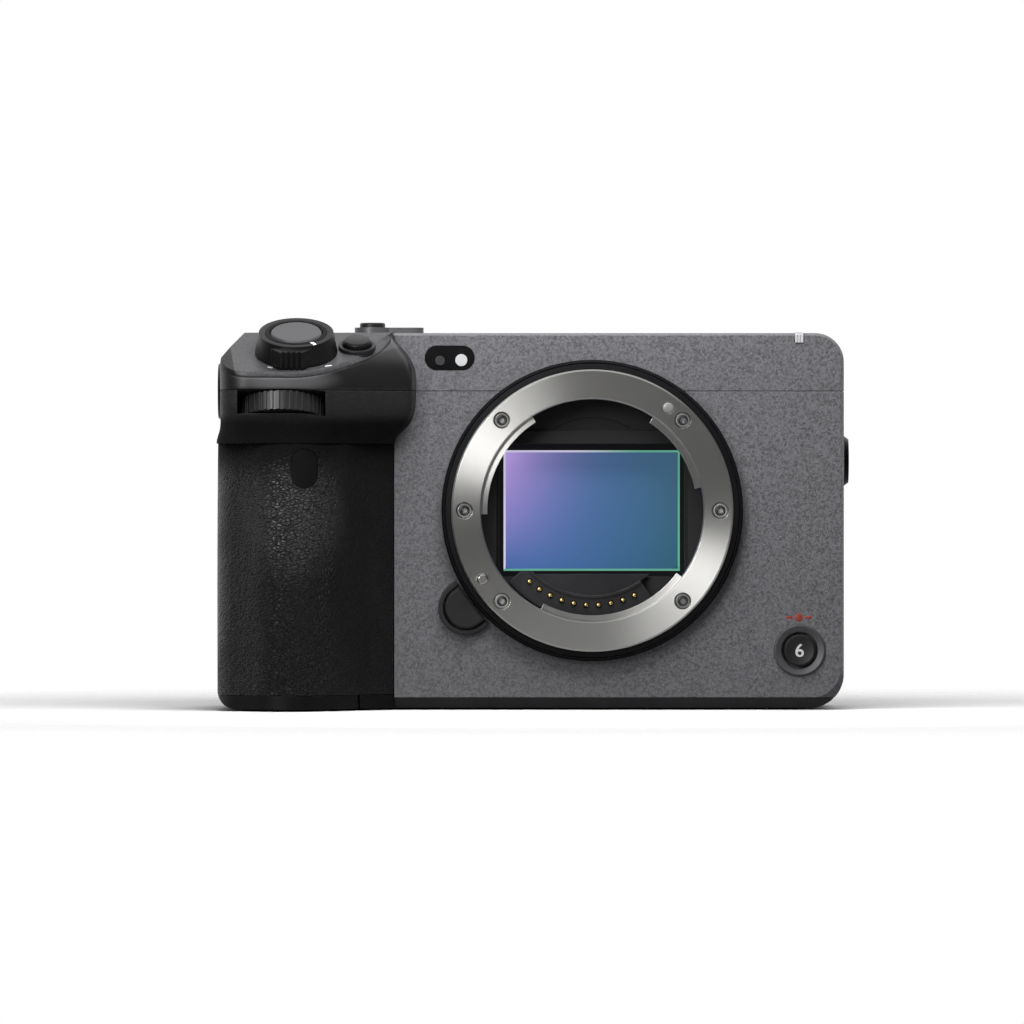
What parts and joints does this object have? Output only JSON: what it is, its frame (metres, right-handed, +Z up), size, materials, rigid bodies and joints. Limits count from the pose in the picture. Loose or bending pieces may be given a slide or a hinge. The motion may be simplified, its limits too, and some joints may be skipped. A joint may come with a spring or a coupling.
{
  "type": "cinema camera",
  "caption": "Compact box-shaped cinema camera body with open bayonet lens mount, hand grip, control deck and swing-out monitor.",
  "frame": {"origin": "mouth of the tripod socket, on the lens axis and in the sensor plane", "axes": "-Y out of the lens mount, +X to the viewer's right seen from the front, +Z up"},
  "size_m": [0.1311, 0.0843, 0.081],
  "materials": {
    "body_paint": "satin speckled dark grey-blue",
    "base_paint": "satin near-black",
    "grip_rubber": "leather grain",
    "smooth_rubber": "matt, fine texture",
    "structure_plastic": "moulded",
    "control_paint": "fine satin",
    "control_black": "satin",
    "mount_steel": "turned",
    "pin_steel": "polished",
    "trim_black": "semi-gloss",
    "chamber_black": "flocked matt black",
    "gold": "gold plated",
    "chassis_alloy": "die-cast magnesium alloy",
    "inner_alloy": "bare",
    "shutter_metal": "matt black lacquer",
    "sensor_glass": "coated glass over silicon, opaque",
    "window_tint": "dark infra-red window",
    "lamp_clear": "translucent pale",
    "screen_glass": "black touch panel",
    "arm_alloy": "satin black",
    "board_green": "circuit board",
    "shoe_steel": "dark satin plated",
    "screw_steel": "blackened"
  },
  "bodies": {
    "camera_body": {"front_panel": "body_paint", "top_cover": "body_paint", "rear_cover": "body_paint", "bottom_cover": "base_paint", "grip_shell": "structure_plastic", "grip_skin": "grip_rubber", "grip_front_rest": "smooth_rubber", "grip_top_housing": "body_paint", "grip_control_deck": "body_paint", "front_windows": "window_tint", "lamp_lenses": "lamp_clear", "lens_mount_ring": "mount_steel", "mount_trim_ring": "trim_black", "chassis": "chassis_alloy", "light_chamber": "chamber_black", "contact_block": "chamber_black", "shutter_frame": "shutter_metal", "sensor_base_plate": "inner_alloy", "heat_sink": "inner_alloy", "fan_housing": "structure_plastic", "button_bezels": "control_black", "monitor_hinge": "pin_steel", "battery_pack": "structure_plastic", "card_slots": "structure_plastic", "circuit_boards": "board_green", "accessory_shoe": "shoe_steel", "thread_bushes": "pin_steel", "rubber_feet": "smooth_rubber", "case_screws": "screw_steel"},
    "zoom_lever": {"zoom_lever": "control_paint"},
    "shutter_button": {"shutter_button": "control_paint"},
    "deck_button": {"deck_button": "control_paint"},
    "front_dial": {"front_dial": "control_black"},
    "rear_dial": {"rear_dial": "control_black"},
    "control_wheel": {"control_wheel": "control_black"},
    "select_button": {"select_button": "control_black"},
    "joystick_gimbal": {"joystick_gimbal": "control_black"},
    "joystick": {"joystick": "control_black"},
    "rear_button_1": {"rear_button_1": "control_black"},
    "rear_button_2": {"rear_button_2": "control_black"},
    "lens_release_button": {"lens_release_button": "control_black"},
    "lock_pin": {"lock_pin": "pin_steel"},
    "front_record_button": {"front_record_button": "control_black"},
    "contact_pins": {"contact_pins": "gold"},
    "power_lever": {"power_lever": "control_paint"},
    "power_button": {"power_button": "control_black"},
    "battery_door": {"battery_door": "base_paint"},
    "battery_door_latch": {"battery_door_latch": "control_black"},
    "card_door": {"card_door": "body_paint"},
    "port_door_1": {"port_door_1": "smooth_rubber"},
    "port_door_2": {"port_door_2": "smooth_rubber"},
    "fan_rotor": {"fan_rotor": "structure_plastic"},
    "shift_frame": {"shift_frame": "inner_alloy"},
    "shutter_blade_1": {"shutter_blade_1": "shutter_metal"},
    "shutter_blade_2": {"shutter_blade_2": "shutter_metal"},
    "monitor": {"monitor_arm": "arm_alloy", "monitor_shell": "body_paint", "monitor_screen": "screen_glass"},
    "sensor_carrier": {"sensor_carrier": "inner_alloy", "sensor_stack": "sensor_glass"}
  },
  "joints": [
    {"name": "zoom_lever_turn", "type": "hinge", "parent": "camera_body", "child": "zoom_lever", "pos_m": [-0.061, -0.02675, 0.0734], "axis": [0, -0.4067, 0.9135], "range_deg": [-20, 20], "stiffness_Nm_per_rad": 0.12},
    {"name": "shutter_press", "type": "slide", "parent": "camera_body", "child": "shutter_button", "axis": [0, 0.4067, -0.9135], "range_m": [0, 0.0009], "stiffness_N_per_m": 400, "springref_m": -0.0005},
    {"name": "deck_button_press", "type": "slide", "parent": "camera_body", "child": "deck_button", "axis": [0, 0.4067, -0.9135], "range_m": [0, 0.0007], "stiffness_N_per_m": 400, "springref_m": -0.0005},
    {"name": "front_dial_turn", "type": "hinge", "parent": "camera_body", "child": "front_dial", "pos_m": [-0.0639, -0.0286, 0.0614], "axis": [0, 0.2588, 0.9659], "continuous": true},
    {"name": "rear_dial_turn", "type": "hinge", "parent": "camera_body", "child": "rear_dial", "pos_m": [-0.06195, 0.0312, 0.0697], "axis": [0, 0, 1], "continuous": true},
    {"name": "control_wheel_turn", "type": "hinge", "parent": "camera_body", "child": "control_wheel", "pos_m": [-0.05545, 0.0395, 0.0249], "axis": [0, 1, 0], "continuous": true},
    {"name": "select_press", "type": "slide", "parent": "camera_body", "child": "select_button", "axis": [0, -1, 0], "range_m": [0, 0.0005], "stiffness_N_per_m": 400, "springref_m": -0.0005},
    {"name": "joystick_tilt_up_down", "type": "hinge", "parent": "camera_body", "child": "joystick_gimbal", "pos_m": [-0.0391, 0.03705, 0.0564], "axis": [1, 0, 0], "range_deg": [-6, 6], "stiffness_Nm_per_rad": 0.02},
    {"name": "joystick_tilt_left_right", "type": "hinge", "parent": "joystick_gimbal", "child": "joystick", "pos_m": [-0.0391, 0.03705, 0.0564], "axis": [0, 0, 1], "range_deg": [-6, 6], "stiffness_Nm_per_rad": 0.02},
    {"name": "rear_button_1_press", "type": "slide", "parent": "camera_body", "child": "rear_button_1", "axis": [0, -1, 0], "range_m": [0, 0.0004], "stiffness_N_per_m": 400, "springref_m": -0.0005},
    {"name": "rear_button_2_press", "type": "slide", "parent": "camera_body", "child": "rear_button_2", "axis": [0, -1, 0], "range_m": [0, 0.0004], "stiffness_N_per_m": 400, "springref_m": -0.0005},
    {"name": "lens_release_press", "type": "slide", "parent": "camera_body", "child": "lens_release_button", "axis": [0, 1, 0], "range_m": [0, 0.0012], "stiffness_N_per_m": 400, "springref_m": -0.0005},
    {"name": "lock_pin_slide", "type": "slide", "parent": "camera_body", "child": "lock_pin", "axis": [0, 1, 0], "range_m": [0, 0.0012]},
    {"name": "record_press", "type": "slide", "parent": "camera_body", "child": "front_record_button", "axis": [0, 1, 0], "range_m": [0, 0.0006], "stiffness_N_per_m": 400, "springref_m": -0.0005},
    {"name": "contact_pins_press", "type": "slide", "parent": "camera_body", "child": "contact_pins", "axis": [0, 1, 0], "range_m": [0, 0.0005], "stiffness_N_per_m": 400, "springref_m": -0.0005},
    {"name": "power_lever_turn", "type": "hinge", "parent": "camera_body", "child": "power_lever", "pos_m": [-0.0458, 0.008, 0.078], "axis": [0, 0, 1], "range_deg": [0, 35]},
    {"name": "power_button_press", "type": "slide", "parent": "camera_body", "child": "power_button", "axis": [0, 0, -1], "range_m": [0, 0.0006], "stiffness_N_per_m": 400, "springref_m": -0.0005},
    {"name": "monitor_swing", "type": "hinge", "parent": "camera_body", "child": "monitor", "pos_m": [0.0486, 0.043, 0.0359], "axis": [0, 0, -1], "range_deg": [0, 176]},
    {"name": "battery_door_swing", "type": "hinge", "parent": "camera_body", "child": "battery_door", "pos_m": [-0.04895, -0.00185, 0.0008], "axis": [0, -1, 0], "range_deg": [0, 100]},
    {"name": "battery_latch_slide", "type": "slide", "parent": "battery_door", "child": "battery_door_latch", "axis": [1, 0, 0], "range_m": [0, 0.002], "stiffness_N_per_m": 400, "springref_m": -0.0005},
    {"name": "card_door_swing", "type": "hinge", "parent": "camera_body", "child": "card_door", "pos_m": [-0.0742, 0.0212, 0.0441], "axis": [0, 0, 1], "range_deg": [0, 100]},
    {"name": "port_door_1_swing", "type": "hinge", "parent": "camera_body", "child": "port_door_1", "pos_m": [0.0514, 0.0044, 0.0223], "axis": [0, 0, -1], "range_deg": [0, 100]},
    {"name": "port_door_2_swing", "type": "hinge", "parent": "camera_body", "child": "port_door_2", "pos_m": [0.0514, 0.0044, 0.0489], "axis": [0, 0, -1], "range_deg": [0, 100]},
    {"name": "fan_spin", "type": "hinge", "parent": "camera_body", "child": "fan_rotor", "pos_m": [0.014, 0.018, 0.0409], "axis": [0, 1, 0], "continuous": true},
    {"name": "sensor_shift_x", "type": "slide", "parent": "camera_body", "child": "shift_frame", "axis": [1, 0, 0], "range_m": [-0.001, 0.001], "stiffness_N_per_m": 3000},
    {"name": "sensor_shift_z", "type": "slide", "parent": "shift_frame", "child": "sensor_carrier", "axis": [0, 0, 1], "range_m": [-0.001, 0.001], "stiffness_N_per_m": 3000},
    {"name": "shutter_blade_1_rise", "type": "slide", "parent": "camera_body", "child": "shutter_blade_1", "axis": [0, 0, 1], "range_m": [0, 0.028]},
    {"name": "shutter_blade_2_rise", "type": "slide", "parent": "camera_body", "child": "shutter_blade_2", "axis": [0, 0, 1], "range_m": [0, 0.014]}
  ],
  "couplings": [
    {"joint": "lock_pin_slide", "follows": "lens_release_press", "ratio": 1},
    {"joint": "shutter_blade_2_rise", "follows": "shutter_blade_1_rise", "ratio": 0.5}
  ]
}
